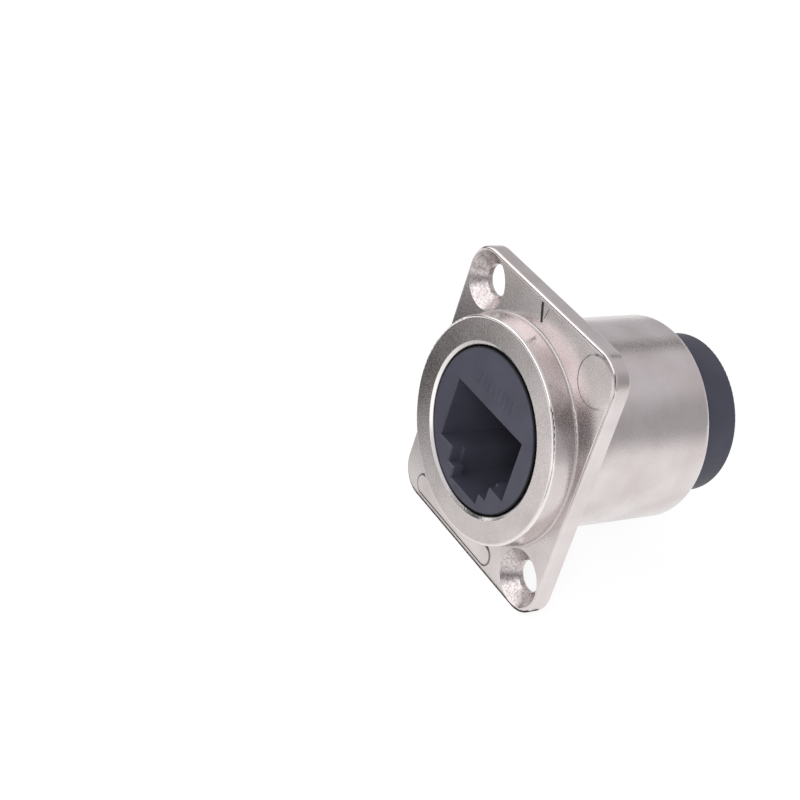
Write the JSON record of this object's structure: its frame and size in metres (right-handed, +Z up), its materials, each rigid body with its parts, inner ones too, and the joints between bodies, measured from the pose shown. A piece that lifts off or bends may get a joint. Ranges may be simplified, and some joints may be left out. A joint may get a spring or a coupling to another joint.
{
  "type": "rj45 inline coupler",
  "caption": "Panel-mount feed-through coupler for modular network plugs, with a nickel-plated flanged shell and black plastic ports front and rear.",
  "frame": {"origin": "on the barrel's axis, at the flange's rear face, which seats on the panel", "axes": "+Z up with the flange upright, front port facing -Y, barrel running towards +Y, +X to the right seen from the front"},
  "size_m": [0.026, 0.0271, 0.031],
  "materials": {
    "nickel_plating": "satin nickel plating on a zinc die casting, with a fine grain",
    "black_plastic": "moulded, fine matte",
    "carrier_plastic": "moulded, matte",
    "board_laminate": "coated laminate",
    "contact_gold": "gold-plated spring strip",
    "solder": "bright solder"
  },
  "bodies": {
    "root": {"shell": "nickel_plating", "front_port_body": "black_plastic", "rear_port_body": "black_plastic", "circuit_board": "board_laminate", "front_contact_carrier": "carrier_plastic", "rear_contact_carrier": "carrier_plastic", "front_solder_joints": "solder", "rear_solder_joints": "solder", "front_contact_1": "contact_gold", "front_contact_2": "contact_gold", "front_contact_3": "contact_gold", "front_contact_4": "contact_gold", "front_contact_5": "contact_gold", "front_contact_6": "contact_gold", "front_contact_7": "contact_gold", "front_contact_8": "contact_gold", "rear_contact_1": "contact_gold", "rear_contact_2": "contact_gold", "rear_contact_3": "contact_gold", "rear_contact_4": "contact_gold", "rear_contact_5": "contact_gold", "rear_contact_6": "contact_gold", "rear_contact_7": "contact_gold", "rear_contact_8": "contact_gold"}
  },
  "joints": []
}
